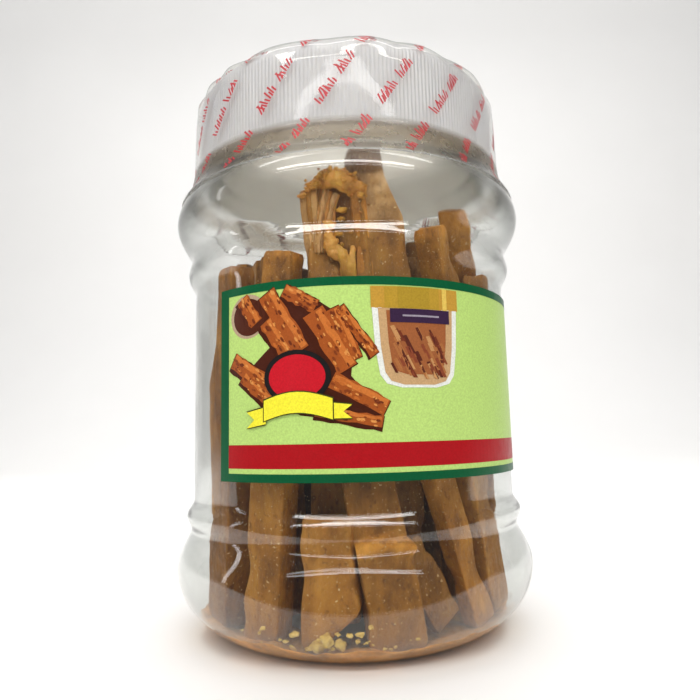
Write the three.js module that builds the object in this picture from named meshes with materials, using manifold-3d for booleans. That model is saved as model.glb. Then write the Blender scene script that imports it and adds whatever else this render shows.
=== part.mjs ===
// Clear screw-top grip jar of upright nougat sticks, with a wrap label and a clear shrink seal on its lid
import * as THREE from 'three';
import { mergeVertices } from 'three/addons/utils/BufferGeometryUtils.js';
import Module from 'manifold-3d';

const wasm = await Module();
wasm.setup();

// Shared sizes, in millimetres and degrees; heights are measured from the table
const SIDES = 60;
const GAP = 0.3;
const DEGREE = Math.PI / 180;

// Jar: straight panel with a bead, a groove and a full round bulge at each end
const PANEL_RADIUS = 42.0;
const WALL = 0.8;
const FLOOR_THICKNESS = 1.0;
const LOW_BULGE = { centre: 16.5, reach: 12.0, height: 4.0 };
const LOW_BEAD = { centre: 28.9, reach: 4.0, height: 1.8 };
const HIGH_BEAD = { centre: 91.0, reach: 5.5, height: 1.9 };
const HIGH_BULGE = { centre: 104.6, reach: 13.0, height: 5.0 };
const FOOT_CURVE = { centreRadius: 24.4, wide: 21.6, tall: 17.8 };
const STAND_INNER_RADIUS = 27.0;
const PUSH_UP_HEIGHT = 5.0;
const PUSH_UP_STEPS = 3;
const PANEL_LOW = 33.0;
const PANEL_HIGH = 85.4;
const SHOULDER_HEIGHT = 112.3;
const NECK_RADIUS = 38.4;
const NECK_LOW = 114.8;
const SHOULDER_STEPS = 2;
const MOUTH_HEIGHT = 137.3;
const THREAD_HEIGHT = 126.0;
const THREAD_RISE = 0.9;
const THREAD_REACH = 1.4;

// Lid: white cup with fine upright ribs round its side
const LID_RADIUS = 41.2;
const LID_WALL = 1.5;
const LID_LOW = 118.1;
const LID_CORNER = 3.5;
const LID_TOP = 139.5;
const RIBS = 96;
const RIB_RISE = 0.4;
const RIB_VALLEY = 0.1;
const RIB_LOW = 119.4;
const RIB_HIGH = 135.6;

// Seal: thin clear sleeve from the shoulder, over the neck and lid, folded in over the lid's top edge
const SEAL_THICKNESS = 0.3;
const SEAL_LOW = 109.3;
const SEAL_SKIRT_RADIUS = 42.75;
const SEAL_TOP_RADIUS = 42.25;
const SEAL_CORNER = 4.5;
const SEAL_TOP = 140.4;
const SEAL_FOLD_RADIUS = 34.0;
const SEAL_FLARE = 0.75;
const SEAL_FLARE_HEIGHT = 114.1;

// Label: printed strip round most of the panel, its left end in front on the left
const LABEL_LOW = 38.6;
const LABEL_HIGH = 82.1;
const LABEL_THICKNESS = 0.3;
const LABEL_CLEARANCE = 0.2;
const LABEL_START = -44.3;
const LABEL_SWEEP = 290;

// Nougat: flat bars stood on end; azimuth is counted from the front towards the right
const STICK_DEPTH = 6.5;
const STICK_WIDTH = 11.0;
const STICK_CHAMFER = 1.0;
const CORE_RADIUS = 23.0;
const CORE_LOW = 6.4;
const CORE_HIGH = 78.0;
const BED_RADIUS = 33.0;
const BED_HIGH = 12.0;
const LEDGE = { low: 7.0, high: 26.0, rise: 1.4 };
const BREAK_DROPS = [8, 3, 6];
const BREAK_SPREAD = 0.9;

// Bars that show at the front: azimuth and inset from the wall at each end, and heights of both ends
const FRONT_STICKS = [
  { from: -63, to: -48.5, fromInset: 0.8, toInset: 0.9, low: 4.8, high: 92, width: 9.0 },
  { from: -35, to: -23.5, fromInset: 0.9, toInset: 0.9, low: 4.6, high: 92, width: 9.0 },
  { from: -8, to: -9, fromInset: 1.2, toInset: 1.0, low: 4.8, high: 31, width: 12.2 },
  { from: 14.5, to: -6, fromInset: 1.4, toInset: 2.6, low: 4.4, high: 112, width: 12.8, broken: true },
  { from: 39, to: 19, fromInset: 5.6, toInset: 5.0, low: 6.4, high: 24.5, width: 8.5 },
  { from: 54, to: 17, fromInset: 1.6, toInset: 5.0, low: 5.0, high: 66, width: 5.5 },
  { from: 22, to: 9, fromInset: 3.0, toInset: 4.5, low: 52, high: 115, width: 9.5 },
  { from: 70, to: 34.5, fromInset: 1.6, toInset: 1.4, low: 6.0, high: 96.5, width: 8.5 },
  { from: 94, to: 61, fromInset: 1.0, toInset: 6.5, low: 62, high: 106, width: 7.5 },
  { from: 92, to: 66, fromInset: 1.4, toInset: 1.4, low: 6.0, high: 88, width: 11.0 },
];

// Bars that stand behind, spaced evenly, their tops stepping up and down
const BACK_STICKS = { count: 8, start: 112, end: 276, lean: 7, inset: 1.0, low: 4.0, high: 96, step: 8 };
const INNER_STICKS = { count: 11, start: 24, radius: 25, turn: 6, lean: -1, low: 7, high: 91, step: 9 };
const TOP_BEAT = 2.4;
const LEAN_BEAT = 1.7;

// Height of a smooth round swelling at one level
function swelling(level, form) {
  const offset = Math.abs(level - form.centre) / form.reach;
  if (offset >= 1) {
    return 0;
  }
  return form.height * (0.5 + 0.5 * Math.cos(Math.PI * offset));
}

// Radius of the foot's curve, taken in by a thickness
function footRadius(level, inset) {
  const rise = (LOW_BULGE.centre - level) / (FOOT_CURVE.tall - inset);
  return FOOT_CURVE.centreRadius + (FOOT_CURVE.wide - inset) * Math.sqrt(Math.max(0, 1 - rise * rise));
}

// Radius of the jar's wall at one level, taken in by a thickness
function wallRadius(level, inset) {
  if (level <= LOW_BULGE.centre) {
    return footRadius(level, inset);
  }
  const forms = [LOW_BULGE, LOW_BEAD, HIGH_BEAD, HIGH_BULGE];
  return PANEL_RADIUS - inset + forms.reduce((sum, form) => sum + swelling(level, form), 0);
}

// Evenly spaced levels from one height to another, both included
function levels(low, high, count) {
  return Array.from({ length: count + 1 }, (unused, index) => low + ((high - low) * index) / count);
}

// Points of a round arc, from one angle to another
function arc(centreRadius, centreHeight, radius, fromAngle, toAngle, count) {
  return levels(fromAngle, toAngle, count).map((angle) => new THREE.Vector2(
    centreRadius + radius * Math.cos(angle * DEGREE),
    centreHeight + radius * Math.sin(angle * DEGREE),
  ));
}

// Weld a geometry's corners and drop its empty triangles
function welded(geometry) {
  geometry.deleteAttribute('normal');
  geometry.deleteAttribute('uv');
  const merged = mergeVertices(geometry, 1e-4);
  const kept = [];
  for (let corner = 0; corner < merged.index.count; corner += 3) {
    const a = merged.index.getX(corner);
    const b = merged.index.getX(corner + 1);
    const c = merged.index.getX(corner + 2);
    if (a !== b && b !== c && a !== c) {
      kept.push(a, b, c);
    }
  }
  merged.setIndex(kept);
  return merged;
}

// Turn a profile about the upright axis
function turned(points, sides) {
  const geometry = new THREE.LatheGeometry(points, sides);
  geometry.rotateX(Math.PI / 2);
  return welded(geometry);
}

function toSolid(geometry) {
  const vertProperties = new Float32Array(geometry.attributes.position.array);
  const triVerts = new Uint32Array(geometry.index.array);
  return new wasm.Manifold(new wasm.Mesh({ numProp: 3, vertProperties, triVerts }));
}

function toGeometry(solid) {
  const mesh = solid.getMesh();
  const geometry = new THREE.BufferGeometry();
  geometry.setAttribute('position', new THREE.BufferAttribute(new Float32Array(mesh.vertProperties), 3));
  geometry.setIndex(Array.from(mesh.triVerts));
  return welded(geometry);
}

// Hollow in the middle of the base, from the axis out to the standing ring
function pushUp(lift) {
  return levels(0, 1, PUSH_UP_STEPS).map((share) => (
    new THREE.Vector2(STAND_INNER_RADIUS * share, PUSH_UP_HEIGHT * (1 - share * share) + lift)
  ));
}

// Turn from the top of the shoulder in to the neck, its ends left to the lines it joins
function shoulderTurn(inset) {
  const reach = wallRadius(SHOULDER_HEIGHT, 0) - NECK_RADIUS;
  const rise = NECK_LOW - SHOULDER_HEIGHT;
  return levels(0, 90, SHOULDER_STEPS).slice(1).map((angle) => new THREE.Vector2(
    NECK_RADIUS - inset + reach * Math.cos(angle * DEGREE),
    SHOULDER_HEIGHT - inset + rise * Math.sin(angle * DEGREE),
  ));
}

// Part of the wall between two levels
function wallLine(low, high, count, inset) {
  return levels(low, high, count).map((level) => new THREE.Vector2(wallRadius(level, inset), level));
}

// Jar: outside from the push-up in the base to the mouth, then back down the inside
function jarGeometry() {
  const point = (radius, height) => new THREE.Vector2(radius, height);
  const outside = [
    ...pushUp(0),
    ...wallLine(0, LOW_BULGE.centre, 6, 0),
    ...wallLine(LOW_BULGE.centre, PANEL_LOW, 7, 0).slice(1),
    ...wallLine(PANEL_HIGH, SHOULDER_HEIGHT, 10, 0),
    ...shoulderTurn(0),
    point(NECK_RADIUS, THREAD_HEIGHT - THREAD_REACH),
    point(NECK_RADIUS + THREAD_RISE, THREAD_HEIGHT),
    point(NECK_RADIUS, THREAD_HEIGHT + THREAD_REACH),
    point(NECK_RADIUS, MOUTH_HEIGHT),
  ];
  const inside = [
    point(NECK_RADIUS - WALL, MOUTH_HEIGHT),
    ...shoulderTurn(WALL).reverse(),
    ...wallLine(SHOULDER_HEIGHT - WALL, PANEL_HIGH, 8, WALL),
    ...wallLine(PANEL_LOW, LOW_BULGE.centre, 4, WALL),
    ...wallLine(LOW_BULGE.centre, FLOOR_THICKNESS, 4, WALL).slice(1),
    ...pushUp(FLOOR_THICKNESS).reverse(),
  ];
  return turned([...outside, ...inside], SIDES);
}

// Lid: plain cup with a ribbed ring joined round its side
function lidGeometry() {
  const insideRadius = LID_RADIUS - LID_WALL;
  const insideTop = MOUTH_HEIGHT + GAP;
  const cup = turned([
    new THREE.Vector2(0, insideTop),
    new THREE.Vector2(insideRadius, insideTop),
    new THREE.Vector2(insideRadius, LID_LOW),
    new THREE.Vector2(LID_RADIUS, LID_LOW),
    ...arc(LID_RADIUS - LID_CORNER, LID_TOP - LID_CORNER, LID_CORNER, 0, 90, 4),
    new THREE.Vector2(0, LID_TOP),
  ], SIDES);
  const outline = new THREE.Shape(levels(0, 2 * RIBS - 1, 2 * RIBS - 1).map((corner) => {
    const angle = (corner * Math.PI) / RIBS;
    const radius = corner % 2 === 0 ? LID_RADIUS + RIB_RISE : LID_RADIUS + RIB_VALLEY;
    return new THREE.Vector2(radius * Math.cos(angle), radius * Math.sin(angle));
  }));
  const hole = new THREE.Path();
  hole.absarc(0, 0, LID_RADIUS - LID_WALL / 2, 0, 2 * Math.PI, true);
  outline.holes.push(hole);
  const ring = new THREE.ExtrudeGeometry(outline, {
    depth: RIB_HIGH - RIB_LOW,
    bevelEnabled: false,
    curveSegments: SIDES / 2,
  });
  ring.translate(0, 0, RIB_LOW);
  return toGeometry(toSolid(cup).add(toSolid(welded(ring))));
}

// Seal: film of even thickness, drawn as its outside and the same line taken in
function sealLine(inset) {
  const follow = GAP + SEAL_THICKNESS - inset;
  const skirt = SEAL_SKIRT_RADIUS - inset;
  return [
    ...levels(SEAL_LOW, SHOULDER_HEIGHT, 2).map((level) => (
      new THREE.Vector2(wallRadius(level, 0) + follow, level)
    )),
    new THREE.Vector2(skirt + SEAL_FLARE, SEAL_FLARE_HEIGHT),
    new THREE.Vector2(skirt, LID_LOW),
    ...arc(SEAL_TOP_RADIUS - SEAL_CORNER, SEAL_TOP - SEAL_CORNER, SEAL_CORNER - inset, 0, 90, 4),
    new THREE.Vector2(SEAL_FOLD_RADIUS, SEAL_TOP - inset),
  ];
}

function sealGeometry() {
  const outside = sealLine(0);
  const inside = sealLine(SEAL_THICKNESS).reverse();
  return turned([...outside, ...inside, outside[0].clone()], SIDES);
}

// Label: thin curved strip
function labelGeometry() {
  const inner = PANEL_RADIUS + LABEL_CLEARANCE;
  const outer = inner + LABEL_THICKNESS;
  const bearing = (azimuth) => (azimuth - 90) * DEGREE;
  const start = bearing(LABEL_START);
  const end = bearing(LABEL_START + LABEL_SWEEP);
  const outline = new THREE.Shape();
  outline.absarc(0, 0, outer, start, end, false);
  outline.absarc(0, 0, inner, end, start, true);
  const strip = new THREE.ExtrudeGeometry(outline, {
    depth: LABEL_HIGH - LABEL_LOW,
    bevelEnabled: false,
    curveSegments: SIDES * 0.6,
  });
  strip.translate(0, 0, LABEL_LOW);
  return welded(strip);
}

// Farthest a bar's middle can stand from the axis at one level and still clear the wall
function seatRadius(level, width) {
  const room = Math.min(wallRadius(level, WALL), PANEL_RADIUS - WALL) - GAP;
  return Math.sqrt(room * room - (width * width) / 4) - STICK_DEPTH / 2;
}

function placed(azimuth, radius, height) {
  const angle = azimuth * DEGREE;
  return new THREE.Vector3(radius * Math.sin(angle), -radius * Math.cos(angle), height);
}

// Cross-section of a bar: a corner is cut off where a chamfer is given, and is one point otherwise
function barOutline(width, depth, chamfer) {
  const turns = [0, 1, 2, 3].map((quarter) => quarter * 90 * DEGREE);
  const points = turns.flatMap((turn) => {
    const right = Math.sign(Math.cos(turn + Math.PI / 4));
    const out = Math.sign(Math.sin(turn + Math.PI / 4));
    const along = new THREE.Vector2(right * (width / 2 - chamfer), (out * depth) / 2);
    const beside = new THREE.Vector2((right * width) / 2, out * (depth / 2 - chamfer));
    const corner = right === out ? [beside, along] : [along, beside];
    return chamfer > 0 ? corner : [along];
  });
  return new THREE.Shape(points);
}

// One bar between the middles of its two ends, its broad side facing outwards
function bar(foot, top, width, depth, chamfer = STICK_CHAMFER) {
  const axis = top.clone().sub(foot);
  const length = axis.length();
  axis.normalize();
  const outward = foot.clone().add(top).setZ(0).normalize();
  const across = new THREE.Vector3().crossVectors(outward, axis).normalize();
  const through = new THREE.Vector3().crossVectors(axis, across);
  const outline = barOutline(width, depth, chamfer);
  const prism = new THREE.ExtrudeGeometry(outline, { depth: length, bevelEnabled: false });
  const turn = new THREE.Matrix4().makeBasis(across, through, axis).setPosition(foot);
  prism.applyMatrix4(turn);
  return toSolid(welded(prism));
}

// Snapped bar: strips that spread and end at different heights, and a thicker foot that ends in a ledge
function brokenBar(foot, top, stick) {
  const along = (level) => (level - stick.low) / (stick.high - stick.low);
  const outward = foot.clone().add(top).setZ(0).normalize();
  const side = new THREE.Vector3(-outward.y, outward.x, 0);
  const strip = stick.width / BREAK_DROPS.length;
  const strips = BREAK_DROPS.map((drop, index) => {
    const place = index - (BREAK_DROPS.length - 1) / 2;
    const tip = foot.clone().lerp(top, along(stick.high - drop));
    tip.addScaledVector(side, place * (strip + BREAK_SPREAD));
    const base = foot.clone().addScaledVector(side, place * strip);
    return bar(base, tip, strip + STICK_CHAMFER, STICK_DEPTH);
  });
  const rise = outward.multiplyScalar(LEDGE.rise);
  const low = foot.clone().lerp(top, along(LEDGE.low)).add(rise);
  const high = foot.clone().lerp(top, along(LEDGE.high)).add(rise);
  return [...strips, bar(low, high, stick.width, STICK_DEPTH)];
}

function frontBars() {
  return FRONT_STICKS.flatMap((stick) => {
    const foot = placed(stick.from, seatRadius(stick.low, stick.width) - stick.fromInset, stick.low);
    const top = placed(stick.to, seatRadius(stick.high, stick.width) - stick.toInset, stick.high);
    return stick.broken ? brokenBar(foot, top, stick) : [bar(foot, top, stick.width, STICK_DEPTH)];
  });
}

function backBars() {
  const last = BACK_STICKS.count - 1;
  const spacing = (BACK_STICKS.end - BACK_STICKS.start) / last;
  return levels(0, last, last).map((index) => {
    const azimuth = BACK_STICKS.start + index * spacing;
    const high = BACK_STICKS.high + BACK_STICKS.step * Math.sin(TOP_BEAT * index);
    const tip = azimuth + BACK_STICKS.lean * Math.cos(LEAN_BEAT * index);
    const seat = seatRadius(BACK_STICKS.low, STICK_WIDTH) - BACK_STICKS.inset;
    const foot = placed(azimuth, seat, BACK_STICKS.low);
    const top = placed(tip, seatRadius(high, STICK_WIDTH) - BACK_STICKS.inset, high);
    return bar(foot, top, STICK_WIDTH, STICK_DEPTH);
  });
}

function innerBars() {
  const last = INNER_STICKS.count - 1;
  const spacing = 360 / INNER_STICKS.count;
  return levels(0, last, last).map((index) => {
    const azimuth = INNER_STICKS.start + index * spacing;
    const high = INNER_STICKS.high + INNER_STICKS.step * Math.sin(TOP_BEAT * index);
    const tip = azimuth + INNER_STICKS.turn * Math.cos(LEAN_BEAT * index);
    const foot = placed(azimuth, INNER_STICKS.radius, INNER_STICKS.low);
    const top = placed(tip, INNER_STICKS.radius + INNER_STICKS.lean, high);
    return bar(foot, top, STICK_WIDTH, STICK_DEPTH, 0);
  });
}

// Heap: bars that show, joined to a core that stays behind them and a low bed that their feet stand in
function nougatGeometry() {
  const core = turned([
    new THREE.Vector2(0, CORE_LOW),
    new THREE.Vector2(BED_RADIUS, CORE_LOW),
    new THREE.Vector2(BED_RADIUS, BED_HIGH),
    new THREE.Vector2(CORE_RADIUS, BED_HIGH),
    new THREE.Vector2(CORE_RADIUS, CORE_HIGH),
    new THREE.Vector2(0, CORE_HIGH),
  ], SIDES / 3);
  const bars = [...frontBars(), ...backBars(), ...innerBars()];
  return toGeometry(bars.reduce((heap, piece) => heap.add(piece), toSolid(core)));
}

function piece(name, geometry, colour, roughness) {
  const material = new THREE.MeshStandardMaterial({ color: colour, roughness, metalness: 0 });
  material.name = `${name}_material`;
  const mesh = new THREE.Mesh(geometry, material);
  mesh.name = name;
  return mesh;
}

const part = new THREE.Group();
part.name = 'nougat_stick_jar';
part.add(piece('jar', jarGeometry(), '#d5d8d1', 0.12));
part.add(piece('lid', lidGeometry(), '#e6e5e8', 0.4));
part.add(piece('shrink_seal', sealGeometry(), '#dcdcdc', 0.15));
part.add(piece('label', labelGeometry(), '#b7d478', 0.35));
part.add(piece('nougat_sticks', nougatGeometry(), '#a4763f', 0.6));

export default part;
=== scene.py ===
import math
import random

import bmesh
import bpy
import numpy as np
from mathutils import Matrix, Vector


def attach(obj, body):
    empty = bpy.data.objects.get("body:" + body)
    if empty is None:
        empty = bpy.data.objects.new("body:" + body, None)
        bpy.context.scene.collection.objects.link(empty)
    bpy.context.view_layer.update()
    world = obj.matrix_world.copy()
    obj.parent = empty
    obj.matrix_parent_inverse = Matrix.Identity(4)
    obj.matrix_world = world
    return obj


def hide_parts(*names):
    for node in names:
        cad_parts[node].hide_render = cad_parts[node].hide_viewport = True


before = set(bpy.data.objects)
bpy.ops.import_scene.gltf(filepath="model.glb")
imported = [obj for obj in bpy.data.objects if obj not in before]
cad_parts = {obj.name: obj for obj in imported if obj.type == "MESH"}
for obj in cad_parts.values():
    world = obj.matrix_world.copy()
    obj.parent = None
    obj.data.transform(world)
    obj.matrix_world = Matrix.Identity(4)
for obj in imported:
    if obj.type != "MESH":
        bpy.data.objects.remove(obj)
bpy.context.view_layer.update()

MM = 0.001

# Jar, in millimetres. A bulge or bead has its height, its reach up and down, and its rise.
PANEL_RADIUS = 42.0
WALL = 0.55
FLOOR_THICKNESS = 0.9
LOW_BULGE = (16.5, 12.0, 4.0)
LOW_BEAD = (28.9, 4.0, 1.8)
HIGH_BEAD = (91.0, 5.5, 1.9)
HIGH_BULGE = (104.6, 13.0, 5.0)
FOOT_CENTRE = 24.4
FOOT_WIDE = 21.6
FOOT_TALL = 17.8
STAND_INNER_RADIUS = 27.0
PUSH_UP_HEIGHT = 5.0
SHOULDER_HEIGHT = 112.3
NECK_RADIUS = 38.4
NECK_LOW = 114.8
MOUTH_HEIGHT = 137.3
THREAD_HEIGHT = 126.0
THREAD_RISE = 0.4
THREAD_REACH = 2.0
HAZE_LOW = 96.0
HAZE_FADE = 4.0
JAR_SIDES = 220
JAR_PITCH = 0.8

# Lid
LID_RADIUS = 41.2
LID_WALL = 1.5
LID_LOW = 118.1
LID_CORNER = 3.5
LID_TOP = 139.5
LID_GAP = 0.3
RIBS = 264
RIB_SIDES = 6
RIB_RISE = 0.16
# The inside of the lid is made lighter: painted light for the light that reaches under the lid
LID_INSIDE_PAINTED_LIGHT = (1.42, 1.36, 1.22)

# Seal
SEAL_LOW = 109.3
SEAL_TOP = 140.4
SEAL_CORNER = 4.5
SEAL_SKIRT_RADIUS = 42.75
SEAL_TOP_RADIUS = 42.25
SEAL_FOLD_RADIUS = 34.0
SEAL_CLEARANCE = 0.45
SEAL_FLARES = ((0.75, 114.1), (0.25, 116.2))
SEAL_THICKNESS = 0.09
SEAL_SIDES = 360
FACETS = 17
FACET_DEPTH = 1.0
FACET_LOW = 133.5
FACET_FADE = 4.5
FOLD_START = 37.5
WRINKLE_HEIGHT = 114.5
WRINKLE_REACH = 3.0
SKIRT_LOW = 117.0
MARK_ROWS = 19
MARK_WORDS = (5, 4)
MARK_TALL = (2.0, 2.7)
MARK_SLANTS = (-0.35, 0.0, 0.35)
MARK_HALF = 0.21
MARK_APART = 0.8
MARK_STEP = 1.15
WORD_GAP = 1.3
PHRASE_GAP = 2.2
MARK_RADIUS = 42.5
MARK_CLIMB = 0.92
MARK_LIFT = 0.03
DIAGONAL = 0.707

# Heights in metres over which the film's looks change, and the depth over which its lower strip clears
# The whitish lower edge is a painted highlight, and the tan below the lid and at the front of the lower strip
# is painted shade of the neck seen through the film
FILM_HIGHLIGHT_EDGE = (0.1094, 0.1100)
FILM_CLING = (0.1118, 0.1140)
FILM_SKIRT = (0.1172, 0.1190)
FILM_FRONT = (-0.034, -0.018)

# Label
LABEL_LOW = 38.6
LABEL_HIGH = 82.1
LABEL_RADIUS = 42.5
LABEL_THICKNESS = 0.22
LABEL_START = -44.3
LABEL_SWEEP = 290.0
LABEL_LENGTH = math.radians(LABEL_SWEEP) * LABEL_RADIUS
LABEL_HEIGHT = LABEL_HIGH - LABEL_LOW
LABEL_BORDER = 2.9
LABEL_RIM = 1.8
LABEL_TOP_RIM = 1.9
RED_BAND = (2.9, 8.0)
PRINT_LIFT = 0.045
PRINT_STRIP = 1.5
PICTURES = (0.0, 104.0)

# Sticks
STICK_DEPTH = 6.5
STICK_WIDTH = 11.0
SEAT_INSET = 0.8
SEAT_GAP = 0.3

# Front bars: azimuth at foot and top, inset at foot and top, low end, high end, width at foot and top, depth
FRONT_STICKS = [
    (-64, -49.5, 0.8, 0.9, 4.8, 89.0, 12.0, 10.5, STICK_DEPTH),
    (-35, -23.5, 0.9, 0.9, 4.6, 90.2, 10.0, 8.0, STICK_DEPTH),
    (-8, -9, 1.2, 1.0, 4.8, 31, 13.0, 11.5, STICK_DEPTH),
    (14.5, -6, 1.4, 2.6, 4.4, 112, 12.5, 13.0, STICK_DEPTH),
    (39, 19, 6.0, 7.5, 6.4, 24.5, 9.0, 8.0, STICK_DEPTH),
    (54, 22, 1.6, 5.0, 5.0, 66, 6.8, 6.8, 5.0),
    (22, 9, 3.0, 4.5, 52, 115, 10.5, 10.5, STICK_DEPTH),
    (70, 34.5, 1.6, 1.4, 6.0, 96.5, 9.0, 8.0, STICK_DEPTH),
    (94, 61, 0.4, 5.4, 62, 106, 10.0, 8.5, 7.5),
    (92, 66, 1.4, 1.4, 6.0, 88, 11.0, 11.0, STICK_DEPTH),
]
FRONT_TONES = [(0.74, 0.7, 0.62), 1.0, 0.95, 0.8, 0.66, 1.06, 1.0, 0.94, (1.15, 1.2, 1.25), 0.9]
# Places in that list of the bars with looks of their own
LEFT, SECOND, SLANT_CUT, BROKEN, TAPERED, CORNER_LOST, LEANING = 0, 1, 2, 3, 6, 7, 8

# Bars behind, in a row along the back wall and a ring further in, and what fills the middle and the foot
BACK_COUNT = 8
BACK_START = 112
BACK_SWEEP = 164
BACK_LOW = 4
BACK_HIGH = 96
BACK_STEP = 8
BACK_TURN = 7
BACK_INSET = 1
FIRST_THINNED = 6
INNER_COUNT = 11
INNER_START = 24
INNER_RADIUS = 25.0
INNER_TOP_RADIUS = 24.0
INNER_LOW = 7.0
INNER_HIGH = 91
INNER_STEP = 9
INNER_TURN = 6
TOP_BEAT = 2.4
LEAN_BEAT = 1.7
BROKEN_LENGTH = 102.5
LEDGE_HEIGHT = 22.6
CORE_RADIUS = 23.0
CORE_LOW = 6.4
CORE_HIGH = 78.0
# The core is near black: painted shade in the gaps between the bars
CORE_PAINTED_SHADE = (0.16, 0.14, 0.15)
DUST_INNER = 24.5
DUST_REACH = 40.0
DUST_CLING = 0.35
DUST_TONE = (1.4, 1.5, 2.6)

# Noise on the bars' faces: strength and size of each layer
BAR_LUMPS = ((0.17, (7, 7, 17)), (0.13, (2.6, 2.6, 6)), (0.08, (0.9, 0.9, 1.8)))
BAR_SQUARENESS = 0.15
BAR_CHIPS = 8
CHIP_REACH = (0.9, 2.6)
CHIP_DEPTH = (0.3, 1.0)
BAR_TILT = 0.16
TILT_REACH = 12

# Loose crumbs that show at the front: azimuth, height, radius
CRUMBS = [
    (-8.7, 7.4, 1.3), (-11.5, 5.6, 1.45), (-4.5, 6.0, 1.4), (-5.2, 9.0, 0.55), (-2.0, 8.6, 0.65),
    (1.0, 8.8, 0.75), (0.2, 7.4, 0.5), (-28.0, 9.0, 0.7), (-18.0, 8.4, 0.95), (-21.5, 6.6, 0.5),
    (-14.6, 5.0, 0.7), (4.0, 10.4, 0.45),
]


def climb(value, start, reach):
    """Nought up to start, then evenly up to one."""
    return np.clip((value - start) / reach, 0, 1)


def bell(value, centre, width):
    return np.exp(-(((value - centre) / width) ** 2))


def unit(vectors):
    return vectors / (np.linalg.norm(vectors, axis=-1, keepdims=True) + 1e-9)


def join(*columns):
    """Points from separate coordinates."""
    return np.stack(np.broadcast_arrays(*columns), -1)


def polar(radius, angle, height):
    """Points at a radius, an angle in radians and a height."""
    return join(radius * np.cos(angle), radius * np.sin(angle), height)


def round_angles(count):
    return np.linspace(0, 2 * np.pi, count, endpoint=False)


def corner_line(radius, top, size, count):
    """A quarter round from a side of this radius to a top."""
    turn = np.radians(np.linspace(0, 90, count))
    return join(radius - size + size * np.cos(turn), top - size + size * np.sin(turn))


def evenly(line, count):
    """A flat line cut into equal steps, and the length up to each point."""
    run = np.concatenate([[0], np.cumsum(np.hypot(*np.diff(line, axis=0).T))])
    even = np.linspace(0, run[-1], count)
    return join(np.interp(even, run, line[:, 0]), np.interp(even, run, line[:, 1])), even


def smoothed(line, rounds):
    line = np.array(line)
    for _ in range(rounds):
        line[1:-1] = (line[:-2] + 2 * line[1:-1] + line[2:]) / 4
    return line


def sideways(line):
    """Unit vectors square to a flat line."""
    along = unit(np.gradient(line, axis=0))
    return join(along[:, 1], -along[:, 0])


def wall_radius(level, inset):
    """Radius of the jar's wall at a height, drawn in by an inset."""
    level = np.asarray(level, float)
    rise = (LOW_BULGE[0] - level) / (FOOT_TALL - inset)
    foot = FOOT_CENTRE + (FOOT_WIDE - inset) * np.sqrt(np.clip(1 - rise * rise, 0, 1))
    body = PANEL_RADIUS - inset
    for centre, reach, height in (LOW_BULGE, LOW_BEAD, HIGH_BEAD, HIGH_BULGE):
        offset = np.clip(np.abs(level - centre) / reach, 0, 1)
        body = body + height * (0.5 + 0.5 * np.cos(np.pi * offset))
    return np.where(level <= LOW_BULGE[0], foot, body)


def grain(points, size, seed):
    """Smooth lattice noise from -1 to 1 at points, with lumps of the given size."""
    q = np.asarray(points, float) / np.asarray(size, float)
    cell = np.floor(q).astype(np.int64)
    f = q - cell
    f = f * f * (3 - 2 * f)
    total = np.zeros(q.shape[:-1])
    for corner in range(8):
        mixed = np.full(q.shape[:-1], seed * 974711)
        weight = np.ones(q.shape[:-1])
        for k, prime in enumerate((374761393, 668265263, 2147483647)):
            step = (corner >> (2 - k)) & 1
            mixed = mixed + (cell[..., k] + step) * prime
            weight = weight * (f[..., k] if step else 1 - f[..., k])
        mixed = (mixed ^ (mixed >> 13)) * 1274126177
        mixed = mixed ^ (mixed >> 16)
        total += weight * ((mixed & 0xFFFF) / 32767.5 - 1)
    return total


def layers(points, parts, seed):
    """Noise summed from parts of a strength and a size, each with a seed of its own."""
    return sum(strength * grain(points, size, seed + k) for k, (strength, size) in enumerate(parts))


def grid(rows, cols, wrap=True, closed=False):
    """Quads of a grid of rows by cols vertices, closed round its columns and its rows if asked."""
    return [
        (
            r * cols + c,
            r * cols + (c + 1) % cols,
            (r + 1) % rows * cols + (c + 1) % cols,
            (r + 1) % rows * cols + c,
        )
        for r in range(rows if closed else rows - 1)
        for c in range(cols if wrap else cols - 1)
    ]


def new_object(name, verts, faces, material, smooth=True):
    mesh = bpy.data.meshes.new(name)
    mesh.from_pydata(np.asarray(verts, float).tolist(), [], faces)
    mesh.update()
    mesh.materials.append(material)
    if smooth:
        mesh.polygons.foreach_set("use_smooth", [True] * len(mesh.polygons))
    thing = bpy.data.objects.new(name, mesh)
    bpy.context.scene.collection.objects.link(thing)
    return thing


def add_piece(name, verts, faces, material, node, smooth=True, tones=None):
    """A piece of the part, from millimetres; its tones are kept at its points."""
    piece = new_object(name, np.asarray(verts, float) * MM, faces, material, smooth)
    if tones is not None:
        layer = piece.data.attributes.new("tone", "FLOAT_COLOR", "POINT")
        colours = np.ones((len(verts), 4), np.float32)
        colours[:, :3] = tones
        layer.data.foreach_set("color", colours.ravel())
    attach(piece, "root")
    if node:
        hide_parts(node)


class Pile:
    """Vertices, faces and tones that become one piece."""

    def __init__(self):
        self.verts, self.faces, self.tones = [], [], []

    def add(self, verts, faces, tones):
        base = len(self.verts)
        self.verts += np.asarray(verts, float).tolist()
        self.faces += [[base + i for i in face] for face in faces]
        self.tones += np.broadcast_to(np.asarray(tones, float), (len(verts), 3)).tolist()

    def tube(self, rings, tips, axes, tones):
        """Adds a row of rings of points, closed by a tip at both ends."""
        count, around = np.shape(rings)[:2]
        points = np.concatenate([np.reshape(rings, (-1, 3)), tips])
        faces = [f[::-1] for f in grid(count, around)]
        first, last = count * around, count * around + 1
        edge = first - around
        for k in range(around):
            n = (k + 1) % around
            faces += [(k, n, first), (last, edge + n, edge + k)]
        shade = tones(points) if callable(tones) else tones
        self.add(axes.world(points) if axes else points, faces, shade)

    def piece(self, name, material, node, slot, smooth=True):
        add_piece(name, self.verts, self.faces, material, node, smooth, np.array(self.tones))


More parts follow.
